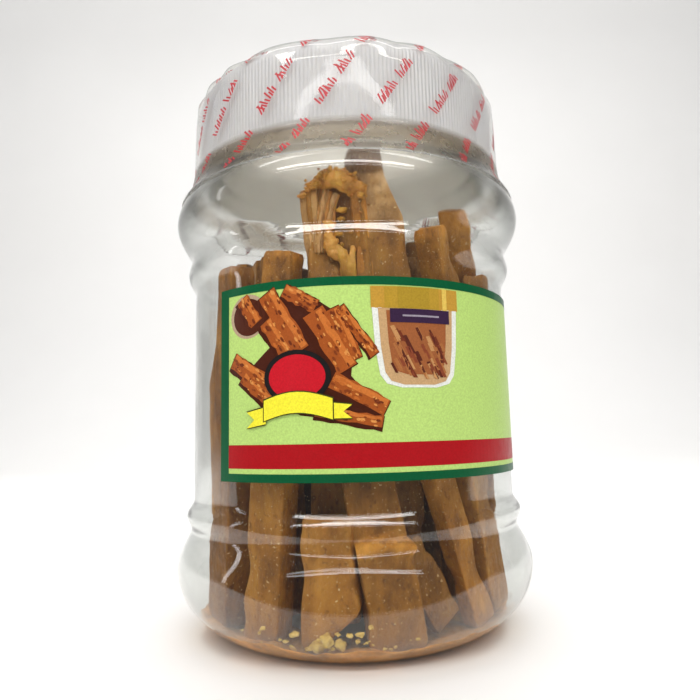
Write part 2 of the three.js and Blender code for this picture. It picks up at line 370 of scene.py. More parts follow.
def lathe(profile, sides, shape=None):
    """Turns a line of (radius, height) about the axis. Ends on the axis become single points."""
    profile = np.asarray(profile, float)
    first = profile[0, 0] < 1e-6
    last = profile[-1, 0] < 1e-6
    inner = profile[int(first) : len(profile) - int(last)]
    rows = len(inner)
    angle = np.tile(round_angles(sides), (rows, 1))
    radius = np.repeat(inner[:, :1], sides, axis=1)
    height = np.repeat(inner[:, 1:], sides, axis=1)
    if shape:
        radius, height = shape(radius, height, angle)
    verts = polar(radius, angle, height).reshape(-1, 3).tolist()
    faces = grid(rows, sides, closed=not first and not last)
    if first:
        faces += [(len(verts), (c + 1) % sides, c) for c in range(sides)]
        verts.append([0, 0, profile[0, 1]])
    if last:
        base = (rows - 1) * sides
        faces += [(len(verts), base + c, base + (c + 1) % sides) for c in range(sides)]
        verts.append([0, 0, profile[-1, 1]])
    return verts, faces


# Materials


class Nodes:
    """A material with a Principled shader and short calls for the nodes behind it."""

    def __init__(self, name):
        self.material = bpy.data.materials.new(name)
        self.material.use_nodes = True
        self.tree = self.material.node_tree
        self.shader = self.tree.nodes["Principled BSDF"]
        self.place = self.add("ShaderNodeTexCoord").outputs["Object"]

    def feed(self, source, socket):
        """Links another node's output to a socket, or sets the socket to a value."""
        if isinstance(source, bpy.types.NodeSocket):
            self.tree.links.new(source, socket)
        elif socket.type == "RGBA":
            socket.default_value = (*source, 1.0)
        else:
            socket.default_value = source

    def add(self, kind, inputs=None, **options):
        node = self.tree.nodes.new(kind)
        for key, value in options.items():
            setattr(node, key, value)
        for key, source in (inputs or {}).items():
            self.feed(source, node.inputs[key])
        return node

    def set(self, **inputs):
        for key, source in inputs.items():
            self.feed(source, self.shader.inputs[key.replace("_", " ")])

    def noise(self, scale, stretch=(1, 1, 1), detail=3.0, roughness=0.55):
        place = self.add("ShaderNodeMapping", {"Vector": self.place, "Scale": stretch}).outputs["Vector"]
        inputs = {"Vector": place, "Scale": scale, "Detail": detail, "Roughness": roughness}
        return self.add("ShaderNodeTexNoise", inputs).outputs["Fac"]

    def ramp(self, source, stops):
        node = self.add("ShaderNodeValToRGB", {"Fac": source})
        elements = node.color_ramp.elements
        while len(elements) < len(stops):
            elements.new(0.5)
        for element, (at, colour) in zip(elements, stops):
            element.position = at
            element.color = (*colour, 1.0)
        return node.outputs["Color"]

    def steps(self, source, low, high, out_low=0.0, out_high=1.0):
        limits = {"From Min": low, "From Max": high, "To Min": out_low, "To Max": out_high}
        return self.add("ShaderNodeMapRange", {"Value": source, **limits}).outputs["Result"]

    def mix(self, a, b, share, kind="MIX"):
        inputs = {0: share, 6: a, 7: b}
        return self.add("ShaderNodeMix", inputs, data_type="RGBA", blend_type=kind).outputs[2]

    def times(self, a, b, share=1.0):
        return self.mix(a, b, share, "MULTIPLY")

    def axis(self, name):
        return self.add("ShaderNodeSeparateXYZ", {0: self.place}).outputs[name]

    def facing(self):
        return self.add("ShaderNodeLayerWeight").outputs["Facing"]

    def sum(self, a, b):
        return self.add("ShaderNodeMath", {0: a, 1: b}, operation="ADD").outputs[0]

    def tone(self):
        return self.add("ShaderNodeAttribute", attribute_name="tone").outputs["Color"]

    def rough(self, scale, low, high):
        self.set(Roughness=self.steps(self.noise(scale), 0.3, 0.7, low, high))

    def bump(self, source, strength, distance):
        inputs = {"Height": source, "Strength": strength, "Distance": distance}
        self.set(Normal=self.add("ShaderNodeBump", inputs).outputs["Normal"])

    def lets_lamps_through(self, colour):
        """Lamps and soft light pass a thin clear wall straight, as they do through film."""
        clear = self.add("ShaderNodeBsdfTransparent", {"Color": colour}).outputs["BSDF"]
        path = self.add("ShaderNodeLightPath")
        surface = self.shader.outputs["BSDF"]
        for ray in ("Is Shadow Ray", "Is Diffuse Ray"):
            inputs = {0: path.outputs[ray], 1: surface, 2: clear}
            surface = self.add("ShaderNodeMixShader", inputs).outputs["Shader"]
        self.feed(surface, self.tree.nodes["Material Output"].inputs["Surface"])


def clear_plastic():
    """Clear, hazy where its tone says so, and greyer where the wall is seen edge on: partly the longer path
    through the plastic, partly painted shade for darker surroundings seen in the wall.
    """
    m = Nodes("clear_plastic")
    m.set(Transmission_Weight=1.0, IOR=1.5)
    clear = m.ramp(m.noise(45, detail=4), [(0.35, (0.885, 0.89, 0.88)), (0.7, (0.855, 0.86, 0.845))])
    # Greyer edge on: longer path through the wall, and painted shade for darker surroundings
    edge_on_path_and_shade = m.steps(m.facing(), 0.25, 0.85)
    m.set(Base_Color=m.mix(clear, (0.66, 0.68, 0.66), edge_on_path_and_shade))
    hazy = m.steps(m.tone(), 0.0, 1.0, 0.0, 0.12)
    m.set(Roughness=m.sum(m.steps(m.noise(160, (1, 1, 0.3)), 0.4, 0.75, 0.015, 0.07), hazy))
    m.bump(m.noise(28, (1, 1, 0.6), 2), 0.25, 0.0006)
    m.lets_lamps_through((0.9, 0.9, 0.88))
    return m.material


def clear_film():
    """Clear over the lid, drawn tight and hazy below it. Below the lid it has painted shade: a tan tint for
    the shaded neck behind it, darker at the front of its lower strip. Its rolled lower edge is whitish and
    less clear: a painted highlight.
    """
    m = Nodes("clear_film")
    m.set(IOR=1.27)
    height = m.axis("Z")
    clear = m.ramp(m.noise(60), [(0.35, (0.985, 0.985, 0.975)), (0.7, (0.965, 0.965, 0.945))])
    # Painted shade: a tan tint below the lid for the shaded neck and lid seen through the film
    drawn = m.ramp(m.noise(90, (1, 1, 0.4), 4), [(0.3, (0.46, 0.40, 0.33)), (0.7, (0.53, 0.475, 0.40))])
    # Painted shade: darker tan at the front of the lower strip, clearing towards the sides
    thin = m.mix((0.66, 0.61, 0.53), clear, m.steps(m.axis("Y"), *FILM_FRONT))
    skirted = m.mix(clear, drawn, m.steps(height, *FILM_SKIRT, 1.0, 0.0))
    shade = m.mix(skirted, thin, m.steps(height, *FILM_CLING, 1.0, 0.0))
    # Painted highlight: a whitish, less clear lower edge
    m.set(Base_Color=m.mix(shade, (0.92, 0.92, 0.90), m.steps(height, *FILM_HIGHLIGHT_EDGE, 1.0, 0.0)))
    m.set(Transmission_Weight=m.steps(height, *FILM_HIGHLIGHT_EDGE, 0.9, 1.0))
    haze = m.steps(height, *FILM_SKIRT, 0.22, 0.0)
    m.set(Roughness=m.sum(m.steps(m.noise(210), 0.35, 0.75, 0.02, 0.1), haze))
    m.bump(m.noise(110, (1, 1, 0.5), 3), 0.18, 0.0004)
    m.lets_lamps_through((0.95, 0.95, 0.94))
    return m.material


def white_plastic():
    m = Nodes("white_plastic")
    m.set(Subsurface_Weight=0.9, Subsurface_Radius=(1.0, 0.95, 0.85), Subsurface_Scale=0.009)
    shade = m.ramp(m.noise(70), [(0.3, (0.58, 0.565, 0.585)), (0.75, (0.63, 0.615, 0.63))])
    m.set(Base_Color=m.times(shade, m.tone()))
    m.rough(400, 0.28, 0.42)
    m.bump(m.noise(900), 0.08, 0.0002)
    return m.material


def printed_paper():
    m = Nodes("printed_paper")
    m.set(Coat_Weight=0.04, Coat_Roughness=0.15, Specular_IOR_Level=0.2)
    dots = m.ramp(m.noise(2600, detail=1), [(0.3, (0.88, 0.88, 0.88)), (0.7, (1.08, 1.08, 1.08))])
    m.set(Base_Color=m.times(m.tone(), dots))
    m.rough(500, 0.3, 0.42)
    m.bump(m.noise(700), 0.06, 0.0002)
    return m.material


def red_ink():
    m = Nodes("red_ink")
    m.set(Base_Color=m.ramp(m.noise(900), [(0.3, (0.40, 0.015, 0.025)), (0.7, (0.55, 0.03, 0.04))]))
    m.rough(700, 0.3, 0.5)
    return m.material


def nougat():
    """Brown with streaks along the bar, small pits and specks of sugar."""
    m = Nodes("nougat")
    m.set(Subsurface_Weight=0.05, Subsurface_Scale=0.002)
    broad = m.ramp(
        m.noise(120, (1, 1, 0.6), 6, 0.62),
        [(0.30, (0.21, 0.08, 0.009)), (0.48, (0.42, 0.172, 0.018)), (0.70, (0.59, 0.278, 0.041))],
    )
    streak = m.ramp(m.noise(420, (1, 1, 0.22), 5), [(0.32, (0.74, 0.71, 0.66)), (0.60, (1.10, 1.10, 1.08))])
    pits = m.ramp(m.noise(900, (1, 1, 0.7), 3), [(0.30, (0.55, 0.50, 0.45)), (0.42, (1.0, 1.0, 1.0))])
    toned = m.times(m.times(m.times(broad, streak, 0.8), pits, 0.8), m.tone())
    specks = m.steps(m.noise(1700, detail=2), 0.665, 0.71)
    m.set(Base_Color=m.mix(toned, (0.74, 0.52, 0.23), specks))
    m.rough(600, 0.38, 0.66)
    m.bump(m.noise(700, (1, 1, 0.5), 6, 0.65), 0.85, 0.0008)
    return m.material


def flakes():
    m = Nodes("flakes")
    m.set(Subsurface_Weight=0.15, Subsurface_Scale=0.002)
    body = m.ramp(
        m.noise(260, (1, 1, 0.3), 5),
        [(0.3, (0.30, 0.125, 0.02)), (0.5, (0.64, 0.31, 0.06)), (0.72, (0.82, 0.50, 0.14))],
    )
    m.set(Base_Color=m.times(body, m.tone()))
    m.rough(500, 0.32, 0.6)
    m.bump(m.noise(800, (1, 1, 0.3), 5), 0.6, 0.0008)
    return m.material


def crumb_material():
    m = Nodes("crumb")
    m.set(Base_Color=m.ramp(m.noise(700), [(0.3, (0.55, 0.32, 0.05)), (0.7, (0.85, 0.60, 0.14))]))
    m.rough(500, 0.4, 0.7)
    m.bump(m.noise(1500), 0.5, 0.0004)
    return m.material


PAPER = printed_paper()
NOUGAT = nougat()


# Jar


def jar_line(inset, lift):
    """One face of the jar, from the axis over the floor and up the wall to the mouth."""
    share = np.linspace(0, 1, 14)
    floor = join(STAND_INNER_RADIUS * share, PUSH_UP_HEIGHT * (1 - share**2) + lift)
    top = SHOULDER_HEIGHT - inset
    level = np.linspace(lift, top, int((top - lift) / JAR_PITCH) + 2)
    turn = np.radians(np.linspace(0, 90, 9)[1:])
    reach = wall_radius(SHOULDER_HEIGHT, 0) - NECK_RADIUS
    rise = NECK_LOW - SHOULDER_HEIGHT
    shoulder = join(NECK_RADIUS - inset + reach * np.cos(turn), top + rise * np.sin(turn))
    neck = np.linspace(NECK_LOW, MOUTH_HEIGHT, 40)[1:]
    thread = (THREAD_RISE if inset == 0 else 0.0) * bell(neck, THREAD_HEIGHT, THREAD_REACH)
    return np.concatenate(
        [floor, join(wall_radius(level, inset), level), shoulder, join(NECK_RADIUS - inset + thread, neck)]
    )


def hazy_inside(verts):
    """One on the inside of the shoulder and neck, nought elsewhere."""
    spots = np.array(verts)
    level = spots[:, 2]
    outer = np.where(level < SHOULDER_HEIGHT, wall_radius(level, 0), NECK_RADIUS)
    inside = np.hypot(spots[:, 0], spots[:, 1]) < outer - WALL / 2
    return (climb(level, HAZE_LOW, HAZE_FADE) * inside)[:, None]


def jar():
    outside = jar_line(0, 0)
    inside = jar_line(WALL, FLOOR_THICKNESS)[::-1]

    def uneven(radius, height, angle):
        """Slight waves on the inside of the wall, calmer at the shoulder and stronger at the foot."""
        spots = polar(30, angle, height)
        wave = grain(spots, (16, 16, 11), 5)
        fine = grain(spots, (5, 5, 6), 9)
        low = bell(height, 12, 9)
        calm = 1 - 0.75 * climb(height, 80, 10)
        shift = -(0.07 * calm + 0.06 * low) * (1 + wave) - 0.02 * calm * fine
        inner = np.arange(len(radius))[:, None] >= len(outside) - 1
        open_wall = (height > 1.5) & (height < SHOULDER_HEIGHT)
        return radius + np.where(inner & open_wall, shift, 0.0), height

    verts, faces = lathe(np.concatenate([outside, inside]), JAR_SIDES, uneven)
    add_piece("jar_clear", verts, faces, clear_plastic(), "jar", tones=hazy_inside(verts))


# Lid


def lid():
    inside = LID_RADIUS - LID_WALL
    ceiling = MOUTH_HEIGHT + LID_GAP
    profile = np.concatenate(
        [
            [(0, ceiling), (inside * 0.5, ceiling), (inside, ceiling), (inside, LID_LOW + 0.2)],
            [(inside + 0.2, LID_LOW), (LID_RADIUS - 0.2, LID_LOW), (LID_RADIUS, LID_LOW + 0.25)],
            [(LID_RADIUS, LID_LOW + 1.1), (LID_RADIUS, LID_LOW + 1.6)],
            join(LID_RADIUS, np.linspace(LID_LOW + 4, LID_TOP - LID_CORNER - 1, 6)),
            corner_line(LID_RADIUS, LID_TOP, LID_CORNER, 10),
            [(LID_RADIUS * 0.6, LID_TOP), (0, LID_TOP)],
        ]
    )

    def ribbed(radius, height, angle):
        rise = climb(height, LID_LOW + 1.1, 0.5) * climb(LID_TOP - 2.0 - height, 0, 1.4)
        side = radius > LID_RADIUS - LID_CORNER * 0.6
        wave = np.clip(0.5 + 0.75 * np.cos(RIBS * angle), 0, 1)
        return radius + np.where(side, rise * RIB_RISE * wave, 0), height

    verts, faces = lathe(profile, RIBS * RIB_SIDES, ribbed)
    spots = np.array(verts)
    # Painted light: the points inside the lid get a lighter tone
    within = (np.hypot(spots[:, 0], spots[:, 1]) < inside + 0.1) & (spots[:, 2] < ceiling + 0.1)
    tones = np.where(within[:, None], LID_INSIDE_PAINTED_LIGHT, (1.0, 1.0, 1.0))
    add_piece("lid_ribbed", verts, faces, white_plastic(), "lid", tones=tones)


# Seal


def seal_line():
    """The film's outside from its lower edge to the fold on top, with the length at each point."""
    low = np.linspace(SEAL_LOW, SHOULDER_HEIGHT, 14)
    rolled_edge = 0.10 * bell(low, SEAL_LOW + 0.5, 0.55)
    flares = [(SEAL_SKIRT_RADIUS + out, level) for out, level in SEAL_FLARES]
    line = np.concatenate(
        [
            join(wall_radius(low, 0) + SEAL_CLEARANCE + rolled_edge, low),
            [*flares, (SEAL_SKIRT_RADIUS, LID_LOW)],
            corner_line(SEAL_TOP_RADIUS, SEAL_TOP, SEAL_CORNER, 14),
            [(SEAL_FOLD_RADIUS, SEAL_TOP)],
        ]
    )
    return evenly(line, 110)


SEAL_ROWS, SEAL_RUN = seal_line()


def seal_shape(radius, height, angle):
    """Flats and small wrinkles of a film that was shrunk on."""
    spots = polar(40, angle, height)
    wander = 0.05 * np.sin(3 * angle + 1) + 0.04 * np.sin(5 * angle)
    facet = np.abs(((angle / (2 * np.pi) * FACETS + wander * 6) % 1) - 0.5) * 2
    wave = grain(spots, (9, 9, 7), 21)
    fine = grain(spots, (3.5, 3.5, 4.5), 23)
    shift = -FACET_DEPTH * climb(height, FACET_LOW, FACET_FADE) * (1 - facet) ** 1.3
    shift = shift + bell(height, WRINKLE_HEIGHT, WRINKLE_REACH) * (0.04 * wave + 0.01 * fine)
    shift = shift + 0.03 * wave * (height > SKIRT_LOW)
    drop = (0.25 * wave - 0.2) * climb(FOLD_START - radius, 0, 3)
    return radius + shift, height + drop


def seal():
    inside = (SEAL_ROWS - SEAL_THICKNESS * sideways(SEAL_ROWS))[::-1]
    verts, faces = lathe(np.concatenate([SEAL_ROWS, inside]), SEAL_SIDES, seal_shape)
    add_piece("seal_film", verts, faces, clear_film(), "shrink_seal")


def on_seal(run, azimuth):
    """Points on the film's outside: length along its line from the lower edge, and azimuth in degrees."""
    radius = np.interp(run, SEAL_RUN, SEAL_ROWS[:, 0])
    height = np.interp(run, SEAL_RUN, SEAL_ROWS[:, 1])
    angle = np.radians(azimuth - 90) % (2 * np.pi)
    radius, height = seal_shape(radius, height, angle)
    on_top = height > SEAL_TOP - 1.2
    return polar(radius + MARK_LIFT * ~on_top, angle, height + MARK_LIFT * on_top)


def seal_marks():
    """Rows of short red strokes that climb round the film at a slant, in groups like words."""
    draw = random.Random(11)
    verts, faces = [], []
    for row in range(MARK_ROWS):
        start = row * 360 / MARK_ROWS + draw.uniform(-3, 3)
        run = -2.0
        while run < SEAL_RUN[-1]:
            for word in MARK_WORDS:
                for _ in range(word):
                    tall = draw.uniform(*MARK_TALL)
                    slant = draw.choice(MARK_SLANTS)
                    for side in (0, 1):
                        along = np.array([0, 0, 1, 1]) * tall * (1 - 0.35 * side)
                        across = np.array([-1, 1, 1, -1]) * MARK_HALF + side * MARK_APART + along * slant
                        # each row climbs at 45 degrees, so both axes turn with it
                        up = run + (across + along) * DIAGONAL
                        turn = np.degrees((across - along) * DIAGONAL / MARK_RADIUS)
                        if up.min() > 0.3 and up.max() < SEAL_RUN[-1] - 0.3:
                            base = len(verts)
                            verts += on_seal(up, start + run * MARK_CLIMB + turn).tolist()
                            faces.append((base, base + 1, base + 2, base + 3))
                    run += MARK_STEP
                run += WORD_GAP
            run += PHRASE_GAP
    add_piece("seal_marks", verts, faces, red_ink(), None, smooth=False)


# Label


PRINT = Pile()


def on_label(s, t, lift):
    return polar(LABEL_RADIUS + lift, np.radians(LABEL_START - 90) + s / LABEL_RADIUS, LABEL_LOW + t)


def field(points, colour, layer):
    """A flat area of one colour, cut into narrow strips so that it follows the curve."""
    form = bmesh.new()
    form.faces.new([form.verts.new((x, y, 0)) for x, y in points])
    right = max(x for x, _ in points)
    cut = min(x for x, _ in points) + PRINT_STRIP
    while cut < right - 0.05:
        everything = form.verts[:] + form.edges[:] + form.faces[:]
        bmesh.ops.bisect_plane(form, geom=everything, plane_co=(cut, 0, 0), plane_no=(1, 0, 0))
        cut += PRINT_STRIP
    bmesh.ops.triangulate(form, faces=form.faces[:])
    form.normal_update()
    form.verts.index_update()
    flat = np.array([v.co[:] for v in form.verts])
    faces = []
    for f in form.faces:
        ids = [v.index for v in f.verts]
        faces.append(ids if f.normal.z > 0 else ids[::-1])
    form.free()
    PRINT.add(on_label(flat[:, 0], flat[:, 1], PRINT_LIFT * layer), faces, colour)


def oval(s, t, wide, tall):
    return [(s + wide * math.cos(a), t + tall * math.sin(a)) for a in round_angles(40)]


def block(left, low, right, high):
    return [(left, low), (right, low), (right, high), (left, high)]


def bar_picture(s, t, angle, length, width, seed):
    """A drawn nougat bar: dark side, warm ragged face, a lit upper edge and grainy spots."""
    draw = random.Random(seed)
    c, n = math.cos(math.radians(angle)), math.sin(math.radians(angle))

    def turned(points):
        return [(s + x * c - y * n, t + x * n + y * c) for x, y in points]

    def ragged(long, low, high, rag):
        along = [-long / 2 + long * k / 8 for k in range(9)]
        under = [(x, low + draw.uniform(-rag, rag)) for x in along]
        over = [(x, high + draw.uniform(-rag, rag)) for x in along[::-1]]
        return turned(under + over)

    half = width / 2
    field(ragged(length, -half * 1.25, half, 0.2), (0.055, 0.010, 0.003), 2)
    field(ragged(length * 0.97, -half * 0.75, half, 0.25), (0.33, 0.075, 0.012), 3)
    field(ragged(length * 0.92, half * 0.25, half * 0.85, 0.2), (0.52, 0.15, 0.028), 4)
    shades = ((0.62, 0.25, 0.06), (0.14, 0.026, 0.006), (0.46, 0.12, 0.02), (0.20, 0.04, 0.008))
    for _ in range(int(length * 2.4)):
        x = draw.uniform(-0.46, 0.46) * length
        y = draw.uniform(-0.32, 0.42) * width
        size = draw.uniform(0.15, 0.55)
        turns = (0, 1.0, 2.1, 3.1, 4.2, 5.3)
        spot = [(x + size * 1.5 * math.cos(a), y + size * 0.7 * math.sin(a)) for a in turns]
        field(turned(spot), draw.choice(shades), 5)


def label():
    green = (0.43, 0.61, 0.165)
    paper = (0.8, 0.8, 0.78)
    cols = 200
    s = np.linspace(0, LABEL_LENGTH, cols)
    corners = ((0, 0), (LABEL_HEIGHT, 0), (LABEL_HEIGHT, -LABEL_THICKNESS), (0, -LABEL_THICKNESS))
    sheet = np.concatenate([on_label(s, t, lift) for t, lift in corners])
    faces = grid(4, cols, wrap=False, closed=True)
    faces.append([row * cols for row in range(4)])
    faces.append([row * cols + cols - 1 for row in (3, 2, 1, 0)])
    tones = np.repeat([green, paper], 2 * cols, axis=0)
    add_piece("label_sheet", sheet, faces, PAPER, "label", smooth=False, tones=tones)

    border = (0.0, 0.085, 0.028)
    red = (0.36, 0.002, 0.006)
    inner_low, inner_high = LABEL_RIM, LABEL_HEIGHT - LABEL_TOP_RIM
    inner_right = LABEL_LENGTH - LABEL_BORDER
    field(block(0, 0, LABEL_LENGTH, inner_low), border, 1)
    field(block(0, inner_high, LABEL_LENGTH, LABEL_HEIGHT), border, 1)
    field(block(0, inner_low, LABEL_BORDER, inner_high), border, 1)
    field(block(inner_right, inner_low, LABEL_LENGTH, inner_high), border, 1)
    field(block(LABEL_BORDER, RED_BAND[0], inner_right, RED_BAND[1]), red, 1)
    for at in PICTURES:
        picture(at)
        drawn_jar(at + 48.0)
    PRINT.piece("label_print", PAPER, None, "printed_label", smooth=False)


# Bars drawn on the label: place along and up, angle, length and width
DRAWN_BARS = [
    (9.2, 37.4, -56, 7.4, 4.0), (22.0, 39.0, -30, 8.6, 3.6), (16.2, 31.0, -54, 9.0, 3.8),
    (18.0, 34.2, -58, 16, 5.0), (31.6, 31.0, -66, 12.4, 3.2), (28.4, 29.6, -60, 15, 5.4),
    (34.4, 31.5, -54, 13, 2.6), (11.8, 19.4, -38, 11.4, 3.2), (10.2, 23.2, -32, 13.6, 4.2),
    (32.3, 13.4, -11, 14.8, 2.8), (34.5, 18.0, -28, 13.4, 4.2),
]
DRAWN_SHADOW = [
    (15, 29), (9, 24), (12, 19), (22, 14), (36, 12), (38, 16), (33, 22), (34, 33), (24, 40), (12, 38),
]


def picture(at):
    """A drawn heap of bars with a medal and a ribbon."""
    field(oval(at + 9.0, 36.4, 5.3, 5.0), (0.42, 0.30, 0.20), 1)
    field(oval(at + 9.2, 36.2, 4.5, 4.2), (0.07, 0.014, 0.005), 2)
    field([(at + x, y) for x, y in DRAWN_SHADOW], (0.06, 0.012, 0.005), 1)
    for k, (s, t, angle, length, width) in enumerate(DRAWN_BARS):
        bar_picture(at + s, t, angle, length, width, 40 + k)
    field(oval(at + 21.2, 22.2, 7.6, 5.8), (0.012, 0.010, 0.010), 6)
    field(oval(at + 21.2, 22.2, 6.4, 4.8), (0.50, 0.006, 0.016), 7)
    ribbon(at, 0.25, (0.05, 0.05, 0.01), 8)
    ribbon(at, 0.0, (0.80, 0.72, 0.035), 9)


def ribbon(at, grow, colour, layer):
    """Two notched ends and an arched band in front of them, made larger all round by grow."""
    left = at + 9.0
    right = at + 33.0
    left_end = [
        (left - grow, 11.6 - grow), (left + 5, 12.4 - grow), (left + 5, 16 + grow), (left - grow, 15 + grow),
        (left + 2.0 + grow, 13.4),
    ]
    right_end = [
        (right + grow, 13.2 - grow), (right - 1.8 - grow, 14.6), (right + grow, 16.0 + grow),
        (right - 5, 16.6 + grow), (right - 5, 13.2 - grow),
    ]
    field(left_end, colour, layer)
    field(right_end, colour, layer)
    step = (15.4 + 2 * grow) / 10
    arch = [(at + 13.6 - grow + k * step, 13.0 - grow + 1.6 * math.sin(math.pi * k / 10)) for k in range(11)]
    roof = [(x, y + 4.4 + 2 * grow) for x, y in arch][::-1]
    field(arch + roof, colour, layer + 2)


def drawn_jar(s):
    """A drawn jar with a gold lid, dark under the lid and full of slanting strokes."""
    draw = random.Random(9)

    def body(wide, low, high):
        side = [(-1.0, 1.0), (-0.95, 0.5), (-0.86, 0.16), (-0.72, 0.05), (-0.4, 0.0)]
        left = [(s + wide * x, low + (high - low) * y) for x, y in side]
        return left + [(2 * s - x, y) for x, y in left[::-1]]

    field(body(10.3, 19.4, 36.6), (0.70, 0.71, 0.66), 2)
    field(body(9.0, 20.0, 36.5), (0.50, 0.31, 0.15), 3)
    field(body(7.2, 22.2, 36.0), (0.30, 0.095, 0.03), 4)
    shades = (
        (0.09, 0.018, 0.010), (0.15, 0.03, 0.012), (0.36, 0.13, 0.04), (0.48, 0.24, 0.09), (0.22, 0.05, 0.02),
    )
    for _ in range(46):
        x = s + draw.uniform(-6.6, 5.2)
        y = draw.uniform(23.5, 33.0)
        long = draw.uniform(1.5, 4.2)
        wide = draw.uniform(0.35, 0.95)
        foot = y - long
        stroke = [(x + 0.5 * long, foot - 0.1), (x + wide + 0.55 * long, foot), (x + wide, y + 0.2), (x, y)]
        low = 21.2 + 0.03 * (x - s) ** 2
        field([(px, max(py, low)) for px, py in stroke], draw.choice(shades), 5)
    field(block(s - 6.4, 33.4, s + 8.0, 36.4), (0.035, 0.014, 0.045), 6)
    field(block(s - 3.6, 34.7, s + 5.2, 35.1), (0.30, 0.26, 0.32), 7)
    lid_stripes = (
        (-10.5, 10.7, (0.47, 0.26, 0.035), 2),
        (-7.5, 5.5, (0.41, 0.25, 0.025), 3),
        (-4.5, 3.0, (0.36, 0.23, 0.02), 4),
        (6.4, 7.6, (0.66, 0.46, 0.09), 3),
    )
    for left, right, colour, layer in lid_stripes:
        field(block(s + left, 36.5, s + right, 41.3), colour, layer)


# Nougat


def placed(azimuth, radius, height):
    a = math.radians(azimuth)
    return np.array([radius * math.sin(a), -radius * math.cos(a), height])


def seat_radius(level, width, depth=STICK_DEPTH):
    """How far out the middle of a bar can stand at a height."""
    room = min(float(wall_radius(level, SEAT_INSET)), PANEL_RADIUS - SEAT_INSET) - SEAT_GAP
    return math.sqrt(room * room - width * width / 4) - depth / 2


class Axes:
    """A bar's own axes: across to the viewer's right, through to the outside, up along the bar."""

    def __init__(self, foot, top):
        self.foot = foot
        self.length = np.linalg.norm(top - foot)
        self.up = (top - foot) / self.length
        self.across = unit(np.cross(self.up, (foot + top) * (1, 1, 0)))
        self.through = np.cross(self.across, self.up)

    def world(self, points):
        return self.foot + np.asarray(points, float) @ np.array([self.across, self.through, self.up])


def bar(pile, axes, widths, depth, seed, around=40, rows=100, tone=1.0, tip=None, form=None, stain_and_shade=None):
    """An uneven bar with soft edges, chips and rough ends."""
    draw = random.Random(seed)
    length = axes.length
    ends = np.array([0, 0.25, 0.7, 1.5, 2.8])
    s = np.concatenate([ends, np.linspace(4, length - 4, rows - 2 * len(ends)), length - ends[::-1]])
    u = s / length
    turn = round_angles(around)
    circle = join(np.cos(turn), np.sin(turn))
    ring = np.sign(circle) * np.abs(circle) ** BAR_SQUARENESS
    away = unit(np.sign(ring) * np.abs(ring) ** 5)
    half = join((widths[0] + (widths[1] - widths[0]) * u) / 2, depth / 2)
    round_off = 1 - 0.085 * bell(np.minimum(s, length - s), 0, 0.75)
    flat = ring * half[:, None] * round_off[:, None, None]
    z = np.repeat(s[:, None], around, axis=1)
    shift = np.array([draw.uniform(0, 500) for _ in range(3)])
    lumps = layers(np.concatenate([flat, z[..., None]], -1) + shift, BAR_LUMPS, seed)
    flat = flat + away * (lumps - 0.12)[..., None]
    for _ in range(BAR_CHIPS):
        side = np.array([draw.choice((-1, 1)), draw.choice((-1, 1))])
        at = draw.uniform(0, length)
        reach = draw.uniform(*CHIP_REACH)
        gap = ((flat - (side * half)[:, None]) ** 2).sum(-1) + ((z - at) * 0.6) ** 2
        flat = flat - side * (draw.uniform(*CHIP_DEPTH) * np.exp(-gap / reach**2))[..., None]
    bow = np.array([draw.uniform(-0.35, 0.35), draw.uniform(-0.6, 0.1)])
    flat = flat + (np.sin(np.pi * u)[:, None] * bow)[:, None]
    tilt = np.array([draw.uniform(-BAR_TILT, BAR_TILT) for _ in range(4)])
    foot_tilt = climb(TILT_REACH - s, 0, TILT_REACH)[:, None] * (flat @ tilt[:2]) * 0.5
    top_tilt = climb(s, length - TILT_REACH, TILT_REACH)[:, None] * (flat @ tilt[2:])
    body = np.concatenate([flat, (z + foot_tilt + top_tilt)[..., None]], -1)
    if form:
        body = form(body)
    rings = list(body)
    tips = []
    for row, side in ((0, -1), (-1, 1)):
        centre = body[row].mean(axis=0)
        for share in (0.86, 0.62, 0.32):
            cap = centre + (body[row] - centre) * share
            cap[:, 2] += side * (0.15 + 0.5 * grain(cap + shift, 1.8, seed + 7))
            rings.insert(0 if side < 0 else len(rings), cap)
        tips.append(centre + (0, 0, side * 0.2))

    def tones(points):
        shade = np.ones((len(points), 3)) * tone
        if tip:
            colour, span = tip
            share = climb(points[:, 2], length - span, span * 0.4)[:, None]
            shade = shade * (1 - share) + np.array(colour) * share
        return shade * stain_and_shade(points) if stain_and_shade else shade

    pile.tube(rings, tips, axes, tones)


def rope(pile, axes, path, wide, deep, seed, tone, rough, around, steps):
    """A lumpy strand along a path in the bar's own axes, wide across and deep towards the outside."""
    u = np.linspace(0, 1, steps)

    def spread(values):
        return np.interp(u, np.linspace(0, 1, len(values)), values)

    line = smoothed(np.stack([spread(column) for column in np.transpose(path)], -1), 3)
    along = unit(np.gradient(line, axis=0))
    side = unit(np.cross(along, (0, 1, 0)))
    face = np.cross(side, along)
    turn = round_angles(around)[:, None]
    close = np.sqrt(np.clip(1 - (2 * u - 1) ** 6, 0.03, 1)) / 2
    offset = np.cos(turn) * ((spread(wide) * close)[:, None] * side)[:, None]
    offset = offset + np.sin(turn) * ((spread(deep) * close)[:, None] * face)[:, None]
    points = line[:, None] + offset
    lumps = layers(points + seed, ((1.0, (2.4, 2.4, 3.2)), (0.6, (0.9, 0.9, 1.2)), (0.35, 0.45)), seed)
    points = points + unit(offset) * (rough * lumps)[..., None]
    pile.tube(points, [line[0], line[-1]], axes, tone)


